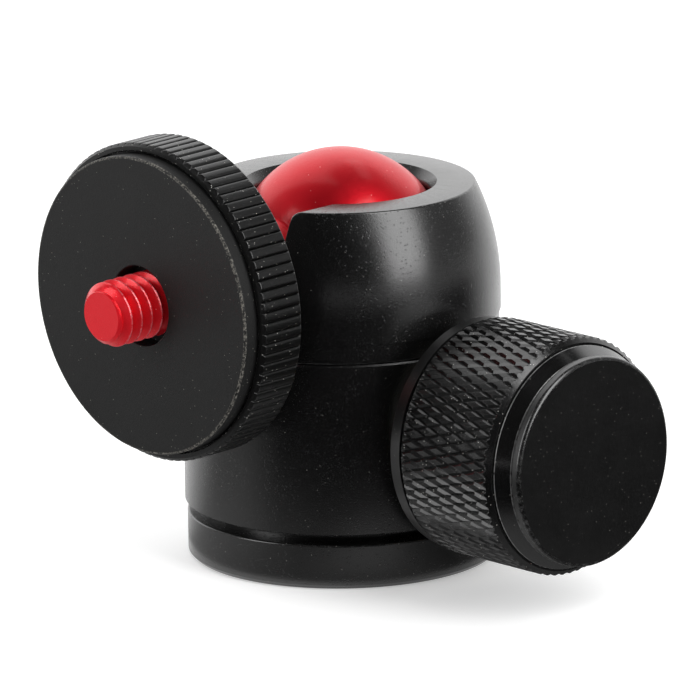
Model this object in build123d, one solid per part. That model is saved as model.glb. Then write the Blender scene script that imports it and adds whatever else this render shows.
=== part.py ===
from build123d import *
import math
import os

# Small tripod ball head: a barrel-shaped body holds a ball under a countersunk mouth, a drop notch
# in its wall lets the ball's stem lie down flat, and one side knob locks everything.
# Frame: +Z up, origin at the centre of the base's underside, body axis on Z.
# The knob's axis points along +X and the drop notch opens towards -Y.  Millimetres.

# ---------------------------------------------------------------- driving dimensions
body_diameter = 30.5  # outside of both housings
band_step = 0.19  # how far the turned band between the housings lies below their skin
band_height = 1.9
band_drop = 0.2  # the band's upper edge below the notch's floor
joint_overlap = 3.5  # the lower housing's spigot inside the barrel
joint_clearance = 0.05
seam_wall = 0.74  # least lower-housing material between the clamp bush and the seam
edge_break = 0.15  # small chamfer on every sharp outer edge
press_clearance = 0.03  # around what is pressed or screwed home
thread_clearance = 0.05  # around what turns on a thread
face_clearance = 0.05  # between flat faces that turn on each other
through = 1.0  # how far a cut runs past the face it opens
tolerance = 0.01
crown_radius = 23.0  # the barrel's upper skin leans in along an arc of this radius
crown_height = 10.1

base_diameter = 30.04
base_height = 4.3
base_edge = 0.4
base_gap = 0.98  # turned neck between the base flange and the lower housing
base_neck_diameter = 29.1
base_spigot_wall = 1.5  # the base spigot's radius over the cavity's

socket_outer_diameter = 9.52  # 3/8 inch reducer bush
socket_inner_diameter = 6.4  # 1/4 inch tripod screw
socket_depth = 6.0
socket_floor = 1.2  # base material left above the socket

ball_diameter = 20.0
ball_seat_clearance = 0.12
cavity_clearance = 0.40  # cavity radius over ball radius
mouth_latitude = 31.8  # where the seat ends, in degrees above the ball's equator
mouth_land = 0.46
mouth_chamfer_height = 1.03
mouth_chamfer_run = 0.65

stem_diameter = 9.5
shoulder_clearance = 3.7  # how far the stem's shoulder stands clear of the body's skin
stem_fillet = 0.8
stem_dip = 1.2  # at rest the stem lies this many degrees below level
notch_side_clearance = 0.80
notch_floor_drop = -0.25  # how far the notch's round floor is centred below the ball
notch_edge = 0.3  # rounding of the notch's edges on the body's skin

liner_start = 0.65  # the liner's lower face above the equator
liner_height = 3.2
liner_thickness = 1.03  # at its thinnest, over the seat radius

stud_diameter = 6.3  # 1/4 inch camera screw
stud_tip_chamfer = 0.85
stud_reach = 4.94  # how far it stands out of the pad
stud_relief_length = 0.6  # groove in its thread, just under the pad's face
stud_relief_depth = 0.3

stem_washer_thickness = 0.58

wheel_diameter = 30.5
wheel_thickness = 5.06
wheel_rim_chamfer = 0.3
wheel_lip = 0.84  # width of the wheel's rim around the pad
pad_recess_depth = 0.55
pad_recess_clearance = 0.15
pad_thickness = 1.98
pad_hole_diameter = 7.7
pad_edge = 0.25

knob_turn_pitch = 1.25  # screw travel in one turn
cone_angle = 20.0  # flank of the screw's nose against its axis
screw_diameter = 8.0
thread_chamfer = 0.3
nose_diameter = 5.0
nose_tip_diameter = 2.4
nose_tip = 2.93  # the nose's tip, measured out from the body axis
nose_gap = 0.20  # vertical gap between the nose's flank and the lift block
hole_end_gap = 0.4  # between the nose's tip and the end of the block's cross hole
block_hole_drop = 0.30  # the block's cross hole lies this far below the screw
block_roof = 1.0  # least block material above the cross hole
block_floor = 0.905  # block material below it
lift_clearance = 0.08  # block and cup in the cavity
ball_floor_gap = 0.40  # ball above the lift block

cup_rim_drop = 0.2  # the cup's rim below the notch's floor
cup_hole_diameter = 8.4

spring_wire = 0.8
spring_mean_diameter = 9.2
spring_turns = 2.0
spring_pocket = 1.2  # depth in the base spigot
spring_pocket_clearance = 0.3
block_pocket = 0.5
block_gap = 1.6  # between the base spigot and the lift block

clamp_bush_recess = 1.55  # depth of the flange's counterbore in the body's side
clamp_bush_wall = 1.4  # around the clamp screw
clamp_bush_flange_step = 1.05
clamp_bush_flange_length = 3.2
bush_spigot_gap = 0.3  # least height of the clamp bush over the base spigot
bush_setback = 0.25  # the bush's inner end lies this far outside the cavity

thrust_washer_diameter = 15.0
thrust_washer_thickness = 0.6
thrust_washer_clearance = 0.15
washer_bore_clearance = 0.1

knob_grip_diameter = 22.76
knob_grip_length = 11.9
knob_grip_wall = 2.58
knob_grip_chamfer = 0.38
knob_collar_step = 0.28  # how far the collar lies below the grip
knob_collar_length = 1.3
knob_ring_step = 0.63  # and the ring's back edge
knob_ring_taper = 0.6
knob_ring_length = 1.5
knob_cap_step = 1.38  # and the cap
knob_cap_groove = 0.3
knob_cap_groove_depth = 0.25
knob_cap_length = 0.9
knob_cap_edge = 0.35
knob_plug_diameter = 11.8
knob_plug_setback = 0.2  # the plug's end above the core's front face
knob_pocket_diameter = 10.0
knob_pocket_depth = 2.6

fixing_shank_diameter = 4.0
fixing_shank_length = 6.6
fixing_hole_extra = 0.6  # the tapped hole's depth past the fixing screw's end
fixing_hole_clearance = 0.2
fixing_head_diameter = 7.0
fixing_head_height = 1.7
fixing_hex_across = 2.5
fixing_hex_depth = 1.1
lock_washer_thickness = 0.5
core_wall = 1.6  # core material between the clamp screw's end and the lock washer

# ---------------------------------------------------------------- worked-out places
body_radius = body_diameter / 2
band_radius = body_radius - band_step
ball_radius = ball_diameter / 2
seat_radius = ball_radius + ball_seat_clearance
cavity_radius = ball_radius + cavity_clearance
stem_radius = stem_diameter / 2
stud_radius = stud_diameter / 2

housing_bottom = base_height + base_gap
spigot_radius = cavity_radius + base_spigot_wall
spigot_top = socket_depth + socket_floor + spring_pocket

nose_radius = nose_diameter / 2
tip_radius = nose_tip_diameter / 2
cone_slope = math.tan(math.radians(cone_angle))
cone_length = (nose_radius - tip_radius) / cone_slope
flank_offset = block_hole_drop + nose_gap  # block hole radius over the nose radius, same station
cup_drop = knob_turn_pitch * cone_slope  # how far block and cup sink in one turn of the knob
block_hole_radius = nose_radius + flank_offset + cup_drop
block_radius = cavity_radius - lift_clearance

screw_radius = screw_diameter / 2
bush_bore_radius = screw_radius + thread_clearance
bush_shank_radius = bush_bore_radius + clamp_bush_wall
bush_flange_radius = bush_shank_radius + clamp_bush_flange_step
clamp_bush_seat = body_radius - clamp_bush_recess

# the knob's axis lies over the spring and block, and the bush clears the base spigot, with its
# flange too where the spigot reaches out that far
bush_foot = bush_flange_radius if spigot_radius > clamp_bush_seat - press_clearance else bush_shank_radius
knob_axis_height = spigot_top + max(
    block_gap + block_floor + block_hole_radius + block_hole_drop,
    bush_foot + bush_spigot_gap,
)
block_hole_height = knob_axis_height - block_hole_drop
block_bottom = block_hole_height - block_hole_radius - block_floor

# the ball lies over the lift block, and its notch and seam lie over the clamp bush
notch_half_width = stem_radius + notch_side_clearance
notch_depth = notch_half_width + notch_floor_drop  # from the ball's centre to the notch's bottom
least_split_height = knob_axis_height + bush_flange_radius + seam_wall
ball_height = max(
    block_hole_height + block_hole_radius + block_roof + ball_floor_gap + ball_radius,
    least_split_height + band_height + band_drop + notch_depth,
)
block_top = ball_height - ball_radius - ball_floor_gap

mouth_radius = seat_radius * math.cos(math.radians(mouth_latitude))
seat_top = ball_height + seat_radius * math.sin(math.radians(mouth_latitude))
mouth_edge_height = seat_top + mouth_land
top_height = mouth_edge_height + mouth_chamfer_height
crown_start = top_height - crown_height
mouth_top_radius = mouth_radius + mouth_chamfer_run

notch_floor_height = ball_height - notch_floor_drop
notch_bottom = ball_height - notch_depth
band_top = notch_bottom - band_drop
split_height = band_top - band_height
joint_radius = (cavity_radius + band_radius) / 2
joint_top = split_height + joint_overlap
cup_top = notch_bottom - cup_rim_drop

liner_outer_radius = seat_radius + liner_thickness
liner_low = ball_height + liner_start
liner_high = liner_low + liner_height

shoulder = body_radius + shoulder_clearance
wheel_back = shoulder + stem_washer_thickness + 2 * face_clearance
wheel_front = wheel_back + wheel_thickness
wheel_radius = wheel_diameter / 2
pad_back = wheel_front - pad_recess_depth + face_clearance
pad_front = pad_back + pad_thickness
recess_radius = wheel_radius - wheel_lip
pad_radius = recess_radius - pad_recess_clearance
stud_tip = pad_front + stud_reach

bush_front = clamp_bush_seat + clamp_bush_flange_length
washer_back = bush_front + thrust_washer_clearance
knob_back = washer_back + thrust_washer_thickness + face_clearance
grip_back = knob_back + knob_collar_length
grip_front = grip_back + knob_grip_length
ring_back = grip_front + face_clearance
ring_front = ring_back + knob_ring_length
cap_back = ring_front + knob_cap_groove
cap_front = cap_back + knob_cap_length
core_front = ring_back
grip_radius = knob_grip_diameter / 2
core_radius = grip_radius - knob_grip_wall
pocket_floor = core_front - knob_pocket_depth
screw_end = pocket_floor - core_wall
nose_base = nose_tip + cone_length
bush_back = cavity_radius + bush_setback
nose_shoulder = bush_back + bush_setback  # where the thread starts, just inside the bush

knob_axis = Plane(origin=(0, 0, knob_axis_height), x_dir=(0, 1, 0), z_dir=(1, 0, 0))
stem_axis = Plane(
    origin=(0, 0, ball_height),
    x_dir=(1, 0, 0),
    z_dir=(0, -math.cos(math.radians(stem_dip)), -math.sin(math.radians(stem_dip))),
)


# ---------------------------------------------------------------- helpers
def turned(*outline):
    """A lathe part about Z from its (radius, height) outline, closed back to its first point."""
    with BuildPart() as part:
        with BuildSketch(Plane.XZ):
            with BuildLine():
                Polyline(*outline, close=True)
            make_face()
        revolve(axis=Axis.Z)
    return part.part


def tube(outer, inner, low, high):
    """A plain ring about Z between two heights."""
    return turned((inner, low), (outer, low), (outer, high), (inner, high))


def rod(radius, low, high):
    """A plain round bar about Z between two heights."""
    return turned((0, low), (radius, low), (radius, high), (0, high))


def on_axis(part, plane):
    """Moves a part made about Z onto another axis, its zero height at the plane's origin."""
    return plane.location * part


def skin_radius(height):
    """Radius of the body's skin: a cylinder, then above the crown's start an arc tangent to it."""
    rise = max(0, height - crown_start)
    return body_radius - crown_radius + math.sqrt(crown_radius**2 - rise**2)


def seat_point(height):
    """The point of the ball's seat sphere at a height, as (radius, height)."""
    return (math.sqrt(seat_radius**2 - (height - ball_height) ** 2), height)


def drop_notch():
    """The U-shaped drop notch, from the body axis out through the wall along -Y, open to the top."""
    tall = top_height - notch_floor_height + through
    with BuildPart() as part:
        with BuildSketch(Plane(origin=(0, 0, notch_floor_height), x_dir=(1, 0, 0), z_dir=(0, -1, 0))):
            Circle(notch_half_width)
            with Locations((0, tall / 2)):
                Rectangle(2 * notch_half_width, tall)
        extrude(amount=body_radius + through)
    return part.part


def on_notch_edge(edge):
    """Whether an edge is one where the notch's walls and floor meet the body's skin."""
    points = [edge @ t for t in (0, 0.25, 0.5, 0.75, 1)]
    return all(
        point.Y < 0
        and abs(point.X) < notch_half_width + tolerance
        and abs(math.hypot(point.X, point.Y) - skin_radius(point.Z)) < tolerance
        for point in points
    )


# ---------------------------------------------------------------- body
def upper_housing():
    """Barrel with the countersunk mouth, the ball's seat, the liner's pocket and the drop notch."""
    crown_middle = (crown_start + top_height) / 2
    seat_middle = (liner_high + seat_top) / 2
    inner_joint = joint_radius + joint_clearance
    with BuildPart() as part:
        with BuildSketch(Plane.XZ):
            with BuildLine():
                Polyline(
                    seat_point(liner_high),
                    (liner_outer_radius, liner_high),
                    (liner_outer_radius, liner_low),
                    (cavity_radius, liner_low),
                    (cavity_radius, joint_top + joint_clearance),
                    (inner_joint, joint_top + joint_clearance),
                    (inner_joint, split_height + joint_clearance),
                    (band_radius - edge_break, split_height + joint_clearance),
                    (band_radius, split_height + joint_clearance + edge_break),
                    (band_radius, band_top),
                    (body_radius - edge_break, band_top),
                    (body_radius, band_top + edge_break),
                    (body_radius, crown_start),
                )
                ThreePointArc(
                    (body_radius, crown_start),
                    (skin_radius(crown_middle), crown_middle),
                    (skin_radius(top_height), top_height),
                )
                Polyline(
                    (skin_radius(top_height), top_height),
                    (mouth_top_radius, top_height),
                    (mouth_radius, mouth_edge_height),
                    seat_point(seat_top),
                )
                ThreePointArc(seat_point(seat_top), seat_point(seat_middle), seat_point(liner_high))
            make_face()
        revolve(axis=Axis.Z)
    housing = part.part - drop_notch()
    return fillet(housing.edges().filter_by(on_notch_edge), notch_edge)


def lower_housing():
    """Lower body: spigot for the barrel, cavity, side hole for the clamp bush, bore for the base."""
    body = turned(
        (spigot_radius + press_clearance, housing_bottom),
        (body_radius - edge_break, housing_bottom),
        (body_radius, housing_bottom + edge_break),
        (body_radius, split_height - edge_break),
        (body_radius - edge_break, split_height),
        (joint_radius, split_height),
        (joint_radius, joint_top),
        (cavity_radius, joint_top),
        (cavity_radius, spigot_top + edge_break),
        (spigot_radius + press_clearance, spigot_top + edge_break),
    )
    flange_hole = rod(bush_flange_radius + press_clearance, clamp_bush_seat, body_radius + through)
    shank_hole = rod(bush_shank_radius + press_clearance, 0, body_radius)
    side_hole = on_axis(flange_hole + shank_hole, knob_axis)
    return body - side_hole - drop_notch()


def base_plug():
    """Base: the flange the head stands on, its neck, and the threaded spigot that closes the body."""
    pocket_radius = (spring_mean_diameter + spring_wire) / 2 + spring_pocket_clearance
    body = turned(
        (0, 0),
        (base_diameter / 2 - base_edge, 0),
        (base_diameter / 2, base_edge),
        (base_diameter / 2, base_height - edge_break),
        (base_diameter / 2 - edge_break, base_height),
        (base_neck_diameter / 2, base_height),
        (base_neck_diameter / 2, housing_bottom - face_clearance),
        (spigot_radius, housing_bottom - face_clearance),
        (spigot_radius, spigot_top),
        (pocket_radius, spigot_top),
        (pocket_radius, spigot_top - spring_pocket),
        (0, spigot_top - spring_pocket),
    )
    return body - rod(socket_outer_diameter / 2 + press_clearance, -through, socket_depth)


def thread_bush():
    """Steel reducer bush in the base; its thread is a plain bore just clear of the screw's crests."""
    return tube(socket_outer_diameter / 2, socket_inner_diameter / 2, 0, socket_depth - face_clearance)


def clamp_bush():
    """Flanged brass nut in the body's side, which the clamp screw turns in."""
    nut = turned(
        (bush_bore_radius, bush_back),
        (bush_shank_radius, bush_back),
        (bush_shank_radius, clamp_bush_seat),
        (bush_flange_radius, clamp_bush_seat),
        (bush_flange_radius, bush_front - edge_break),
        (bush_flange_radius - edge_break, bush_front),
        (bush_bore_radius, bush_front),
    )
    return on_axis(nut, knob_axis)


def seat_liner():
    """Split plastic ring that the ball turns against, above its equator."""
    low = liner_low + face_clearance
    high = liner_high - face_clearance
    outer = liner_outer_radius - press_clearance
    with BuildPart() as part:
        with BuildSketch(Plane.XZ):
            with BuildLine():
                Polyline(seat_point(low), (outer, low), (outer, high), seat_point(high))
                ThreePointArc(seat_point(high), seat_point((low + high) / 2), seat_point(low))
            make_face()
        revolve(axis=Axis.Z)
    return part.part - drop_notch()


# ---------------------------------------------------------------- clamp under the ball
def lift_block():
    """Brass block that the screw's cone lifts: a tapered cross hole, a spring pocket below."""
    pocket_radius = (spring_mean_diameter + spring_wire) / 2 + spring_pocket_clearance
    block = turned(
        (0, block_bottom + block_pocket),
        (pocket_radius, block_bottom + block_pocket),
        (pocket_radius, block_bottom),
        (block_radius - edge_break, block_bottom),
        (block_radius, block_bottom + edge_break),
        (block_radius, block_top),
        (0, block_top),
    )
    hole = turned(
        (0, nose_tip - hole_end_gap),
        (tip_radius + flank_offset - hole_end_gap * cone_slope, nose_tip - hole_end_gap),
        (block_hole_radius, nose_base + knob_turn_pitch),
        (block_hole_radius, cavity_radius + through),
        (0, cavity_radius + through),
    )
    hole_axis = Plane(origin=(0, 0, block_hole_height), x_dir=(0, 1, 0), z_dir=(1, 0, 0))
    return block - on_axis(hole, hole_axis)


def ball_cup():
    """Plastic brake cup on the block, hollowed to the ball."""
    hole = cup_hole_diameter / 2
    hole_top = ball_height - math.sqrt(seat_radius**2 - hole**2)
    with BuildPart() as part:
        with BuildSketch(Plane.XZ):
            with BuildLine():
                Polyline(
                    seat_point(cup_top),
                    (block_radius, cup_top),
                    (block_radius, block_top),
                    (hole, block_top),
                    (hole, hole_top),
                )
                ThreePointArc((hole, hole_top), seat_point((hole_top + cup_top) / 2), seat_point(cup_top))
            make_face()
        revolve(axis=Axis.Z)
    return part.part


def lift_spring():
    """Coil spring under the lift block, which keeps a light drag on the loosened ball."""
    low = spigot_top - spring_pocket
    high = block_bottom + block_pocket
    mean = spring_mean_diameter / 2
    radius = spring_wire / 2
    height = high - low - spring_wire
    helix = Helix(pitch=height / spring_turns, height=height, radius=mean, center=(0, 0, low + radius))
    with BuildPart() as part:
        with BuildLine():
            add(helix)
        with BuildSketch(Plane(origin=helix @ 0, z_dir=helix % 0)):
            Circle(radius)
        sweep(is_frenet=True)
    return part.part


# ---------------------------------------------------------------- ball, stem and platform
def ball():
    """Ball, stem and 1/4 inch camera screw, turned in one piece."""
    foot = math.sqrt(ball_radius**2 - stem_radius**2)
    relief_radius = stud_radius - stud_relief_depth
    with BuildPart() as part:
        with BuildSketch(Plane.XZ):
            with BuildLine():
                Polyline(
                    (0, -ball_radius),
                    (0, stud_tip),
                    (stud_radius - stud_tip_chamfer, stud_tip),
                    (stud_radius, stud_tip - stud_tip_chamfer),
                    (stud_radius, pad_front),
                    (relief_radius, pad_front),
                    (relief_radius, pad_front - stud_relief_length),
                    (stud_radius, pad_front - stud_relief_length),
                    (stud_radius, shoulder),
                    (stem_radius - edge_break, shoulder),
                    (stem_radius, shoulder - edge_break),
                    (stem_radius, foot),
                )
                ThreePointArc((stem_radius, foot), (ball_radius, 0), (0, -ball_radius))
            make_face()
        revolve(axis=Axis.Z)
        foot_edges = [
            edge
            for edge in part.edges().filter_by(GeomType.CIRCLE)
            if abs(edge.radius - stem_radius) < tolerance and abs(edge.arc_center.Z - foot) < tolerance
        ]
        fillet(foot_edges, stem_fillet)
    return on_axis(part.part, stem_axis)


def stem_washer():
    """Slip washer on the stem's shoulder, under the platform wheel."""
    low = shoulder + face_clearance
    ring = tube(stem_radius, stud_radius + 2 * thread_clearance, low, low + stem_washer_thickness)
    return on_axis(ring, stem_axis)


def platform_wheel():
    """Lock wheel on the camera screw, plain at the tips of its ribs, with a recess for the pad."""
    bore = stud_radius + thread_clearance
    recess_floor = wheel_front - pad_recess_depth
    chamfer = wheel_rim_chamfer
    wheel = turned(
        (bore, wheel_back),
        (wheel_radius - chamfer, wheel_back),
        (wheel_radius, wheel_back + chamfer),
        (wheel_radius, wheel_front - chamfer),
        (wheel_radius - chamfer, wheel_front),
        (recess_radius, wheel_front),
        (recess_radius, recess_floor),
        (bore, recess_floor),
    )
    return on_axis(wheel, stem_axis)


def camera_pad():
    """Rubber pad that the camera sits on."""
    hole = pad_hole_diameter / 2
    pad = turned(
        (hole, pad_back),
        (pad_radius, pad_back),
        (pad_radius, pad_front - pad_edge),
        (pad_radius - pad_edge, pad_front),
        (hole + pad_edge, pad_front),
        (hole, pad_front - pad_edge),
    )
    return on_axis(pad, stem_axis)


# ---------------------------------------------------------------- knob
def thrust_washer():
    """Plastic washer between the clamp bush and the knob's back."""
    bore = screw_radius + washer_bore_clearance
    ring = tube(thrust_washer_diameter / 2, bore, washer_back, washer_back + thrust_washer_thickness)
    return on_axis(ring, knob_axis)


def clamp_screw():
    """Steel screw with a conical nose; its outer end takes the knob and the fixing screw."""
    screw = turned(
        (0, nose_tip),
        (tip_radius, nose_tip),
        (nose_radius, nose_base),
        (nose_radius, nose_shoulder),
        (screw_radius - thread_chamfer, nose_shoulder),
        (screw_radius, nose_shoulder + thread_chamfer),
        (screw_radius, screw_end),
        (0, screw_end),
    )
    hole_depth = fixing_shank_length - core_wall + fixing_hole_extra
    hole = rod(fixing_shank_diameter / 2 + press_clearance, screw_end - hole_depth, screw_end)
    return on_axis(screw - hole, knob_axis)


def knob_core():
    """Aluminium core with the smooth back collar; the grip sleeve is pressed over it."""
    collar_radius = grip_radius - knob_collar_step
    shank_hole = fixing_shank_diameter / 2 + fixing_hole_clearance
    core = turned(
        (screw_radius + press_clearance, knob_back),
        (collar_radius - edge_break, knob_back),
        (collar_radius, knob_back + edge_break),
        (collar_radius, grip_back),
        (core_radius, grip_back),
        (core_radius, core_front),
        (knob_pocket_diameter / 2, core_front),
        (knob_pocket_diameter / 2, pocket_floor),
        (shank_hole, pocket_floor),
        (shank_hole, screw_end),
        (screw_radius + press_clearance, screw_end),
    )
    return on_axis(core, knob_axis)


def knob_grip():
    """Grip sleeve, plain at the tips of its diamond knurl."""
    back = grip_back + face_clearance
    grip = turned(
        (core_radius + press_clearance, back),
        (grip_radius - knob_grip_chamfer, back),
        (grip_radius, back + knob_grip_chamfer),
        (grip_radius, grip_front - knob_grip_chamfer),
        (grip_radius - knob_grip_chamfer, grip_front),
        (core_radius + press_clearance, grip_front),
    )
    return on_axis(grip, knob_axis)


def knob_ring():
    """Smooth tapered ring in front of the grip."""
    outer = grip_radius - knob_ring_step
    front = outer - knob_ring_taper
    ring = turned(
        (knob_plug_diameter / 2, ring_back),
        (outer, ring_back),
        (front, ring_front - edge_break),
        (front - edge_break, ring_front),
        (knob_plug_diameter / 2, ring_front),
    )
    return on_axis(ring, knob_axis)


def knob_cap():
    """Front cap: a flat disc with a rounded edge, a groove behind it and a plug into the ring."""
    outer = grip_radius - knob_cap_step
    plug = knob_plug_diameter / 2 - press_clearance
    plug_back = ring_back + knob_plug_setback
    bend = knob_cap_edge * (1 - math.sqrt(0.5))
    with BuildPart() as part:
        with BuildSketch(Plane.XZ):
            with BuildLine():
                Polyline(
                    (outer - knob_cap_edge, cap_front),
                    (0, cap_front),
                    (0, plug_back),
                    (plug, plug_back),
                    (plug, ring_front + face_clearance),
                    (outer - knob_cap_groove_depth, ring_front + face_clearance),
                    (outer - knob_cap_groove_depth, cap_back),
                    (outer, cap_back),
                    (outer, cap_front - knob_cap_edge),
                )
                ThreePointArc(
                    (outer, cap_front - knob_cap_edge),
                    (outer - bend, cap_front - bend),
                    (outer - knob_cap_edge, cap_front),
                )
            make_face()
        revolve(axis=Axis.Z)
    return on_axis(part.part, knob_axis)


def lock_washer():
    """Spring washer under the fixing screw's head."""
    bore = fixing_shank_diameter / 2 + fixing_hole_clearance
    ring = tube(fixing_head_diameter / 2, bore, pocket_floor, pocket_floor + lock_washer_thickness)
    return on_axis(ring, knob_axis)


def fixing_screw():
    """Socket screw that pulls the knob onto the clamp screw."""
    seat = pocket_floor + lock_washer_thickness
    head_top = seat + fixing_head_height
    screw = rod(fixing_head_diameter / 2, seat, head_top) + rod(
        fixing_shank_diameter / 2, pocket_floor - fixing_shank_length, seat
    )
    with BuildPart() as socket:
        with BuildSketch(Plane.XY.offset(head_top)):
            RegularPolygon(fixing_hex_across / 2, 6, major_radius=False)
        extrude(amount=-fixing_hex_depth)
    return on_axis(screw - socket.part, knob_axis)


sub_parts = {
    "upper_housing": upper_housing,
    "lower_housing": lower_housing,
    "base_plug": base_plug,
    "thread_bush": thread_bush,
    "clamp_bush": clamp_bush,
    "seat_liner": seat_liner,
    "lift_spring": lift_spring,
    "lift_block": lift_block,
    "ball_cup": ball_cup,
    "ball": ball,
    "stem_washer": stem_washer,
    "platform_wheel": platform_wheel,
    "camera_pad": camera_pad,
    "thrust_washer": thrust_washer,
    "clamp_screw": clamp_screw,
    "knob_core": knob_core,
    "knob_grip": knob_grip,
    "knob_ring": knob_ring,
    "knob_cap": knob_cap,
    "lock_washer": lock_washer,
    "fixing_screw": fixing_screw,
}

os.makedirs("parts", exist_ok=True)
for name, make in sub_parts.items():
    export_step(make(), f"parts/{name}.step")
print(f"ball {ball_height:.2f}, top {top_height:.2f}, seam {split_height:.2f}, knob {knob_axis_height:.2f}")
print(f"pad {pad_front:.2f}, camera screw {stud_tip:.2f}, knob {cap_front:.2f} out; cup drop {cup_drop:.3f}")
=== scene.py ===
# %% [markdown]
# # A small tripod ball head, finished in Blender
# The head is a barrel-shaped aluminium body with a red ball in its mouth. The ball's stem lies in a
# notch of the body, and carries a ribbed wheel, a rubber pad and a camera screw. One knurled knob
# clamps the ball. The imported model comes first, as a fixed frame: every piece made below sits
# where the frame says, and rides on one of its bodies.

# %% Load the frame
import math

import bmesh
import bpy
import numpy as np
from mathutils import Matrix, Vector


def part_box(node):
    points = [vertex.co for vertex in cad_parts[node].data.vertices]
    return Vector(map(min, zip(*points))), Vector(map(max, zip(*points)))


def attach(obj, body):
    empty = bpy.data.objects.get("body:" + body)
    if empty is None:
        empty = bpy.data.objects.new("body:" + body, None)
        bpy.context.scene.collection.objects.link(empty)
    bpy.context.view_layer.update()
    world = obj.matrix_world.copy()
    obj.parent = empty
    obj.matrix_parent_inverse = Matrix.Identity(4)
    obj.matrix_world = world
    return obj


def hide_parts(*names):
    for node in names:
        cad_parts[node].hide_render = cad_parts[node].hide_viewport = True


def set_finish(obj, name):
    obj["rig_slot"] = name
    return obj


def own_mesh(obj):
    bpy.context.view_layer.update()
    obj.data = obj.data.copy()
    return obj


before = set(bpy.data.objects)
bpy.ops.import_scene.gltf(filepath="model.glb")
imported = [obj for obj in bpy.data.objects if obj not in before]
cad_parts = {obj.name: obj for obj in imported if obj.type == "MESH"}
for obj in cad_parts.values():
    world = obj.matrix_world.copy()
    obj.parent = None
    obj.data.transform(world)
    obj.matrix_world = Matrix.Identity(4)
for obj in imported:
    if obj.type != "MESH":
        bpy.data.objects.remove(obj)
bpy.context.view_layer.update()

mm = 0.001
turn = 2 * math.pi

# %% [markdown]
# ## Three axes
# Everything here is turned on a lathe, so each piece is drawn about its own Z axis and then laid on
# one of three real axes: the body's, the knob's, and the stem's, which dips a little below level.

# %% Axes of the three lathe jobs
knob_axis_height = 14.66
ball_height = 29.30
stem_dip = math.radians(1.2)

stem_out = np.array([0, -math.cos(stem_dip), -math.sin(stem_dip)])
stem_up = np.array([0, -math.sin(stem_dip), math.cos(stem_dip)])
along_x = np.array([[0.0, 1, 0], [0, 0, 1], [1, 0, 0]])
along_stem = np.array([[1, 0, 0], stem_up, stem_out])
axes = {
    "body": (np.zeros(3), np.eye(3)),
    "knob": (np.array([0, 0, knob_axis_height]), along_x),
    "stem": (np.array([0, 0, ball_height]), along_stem),
}


def lay(points, axis):
    """Takes points drawn about Z to an axis: origin + x * side + y * up + z * out."""
    origin, directions = axes[axis]
    return points @ directions + origin


print("axes:", ", ".join(axes))

# %% [markdown]
# ## Outlines with broken edges
# A machinist never leaves an edge sharp: every corner gets a small radius, and that radius is what
# catches the light. The outline of a piece is a list of (radius, height) corners. Each corner is
# swapped for an arc, with one more point just before and after it, which keeps the flats flat when
# the mesh is shaded smooth.

# %% Arcs
arc_steps = 5
flank = 0.04  # mm of flat kept beside each arc
longest_reach = 0.45  # share of a side that an arc may take up


def arc_at(corner, before, after, radius):
    """Arc that touches both sides of a corner: centre on the bisector, radius / sin(half) away."""
    to_before = (before - corner) / np.linalg.norm(before - corner)
    to_after = (after - corner) / np.linalg.norm(after - corner)
    half = math.acos(np.clip(to_before @ to_after, -1, 1)) / 2
    room = longest_reach * min(np.linalg.norm(before - corner), np.linalg.norm(after - corner))
    reach = min(radius / math.tan(half), room)
    radius = reach * math.tan(half)
    bisector = (to_before + to_after) / np.linalg.norm(to_before + to_after)
    centre = corner + bisector * radius / math.sin(half)
    start = corner + to_before * reach
    end = corner + to_after * reach
    share = np.linspace(0, 1, arc_steps + 1)[:, None]
    spread = math.pi - 2 * half
    weights = np.sin((1 - share) * spread), np.sin(share * spread)
    arc = centre + ((start - centre) * weights[0] + (end - centre) * weights[1]) / math.sin(spread)
    return np.vstack([start + to_before * flank, arc, end + to_after * flank])


def arc_between(start, end, centre, steps):
    """Points on the circle round centre from start to end, by even angles, both ends included."""
    first = np.subtract(start, centre)
    last = np.subtract(end, centre)
    angles = math.atan2(first[1], first[0]), math.atan2(last[1], last[0])
    swing = (angles[1] - angles[0] + math.pi) % turn - math.pi
    a = angles[0] + np.linspace(0, 1, steps + 1) * swing
    return np.array(centre) + np.linalg.norm(first) * np.stack([np.cos(a), np.sin(a)], 1)


print("an edge arc has", arc_steps + 1, "points")

# %% [markdown]
# The arcs are remembered as wear, 1 on an arc and 0 elsewhere, because edges are where a finish
# rubs. Some finishes also paint a highlight along the same mask.

# %% Outlines


def outline(*corners):
    """Outline and its wear, from corners of (radius, height) or (radius, height, edge radius)."""
    places = np.array([c[:2] for c in corners], float)
    points, wear = [places[:1]], [np.zeros(1)]
    for i in range(1, len(corners) - 1):
        if len(corners[i]) == 3:
            arc = arc_at(places[i], places[i - 1], places[i + 1], corners[i][2])
            points.append(arc)
            wear.append(np.r_[0, np.ones(arc_steps + 1), 0])
        else:
            points.append(places[i : i + 1])
            wear.append(np.zeros(1))
    points.append(places[-1:])
    wear.append(np.zeros(1))
    return np.vstack(points), np.concatenate(wear)


print("one rounded corner has", len(outline((1, 0), (1, 1, 0.1), (0, 1))[0]) - 2, "points")

# %% [markdown]
# ## From an outline to a grid
# A lathe part is one grid: the outline's points down the rows, the angle across the columns.

# %% Grids
segments = 256  # columns of a plain lathe part


def lathe_grid(radius, angle, height):
    """Points x = r sin a, y = -r cos a, z = height, any of which may vary over rows and columns."""
    radius, angle, height = np.broadcast_arrays(radius, angle, height)
    return np.stack([radius * np.sin(angle), -radius * np.cos(angle), height], 2)


def revolve(path, columns=segments):
    """Carries an outline of (radius, height) points through a full turn round Z."""
    return lathe_grid(path[:, :1], np.linspace(0, turn, columns + 1), path[:, 1:2])


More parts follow.
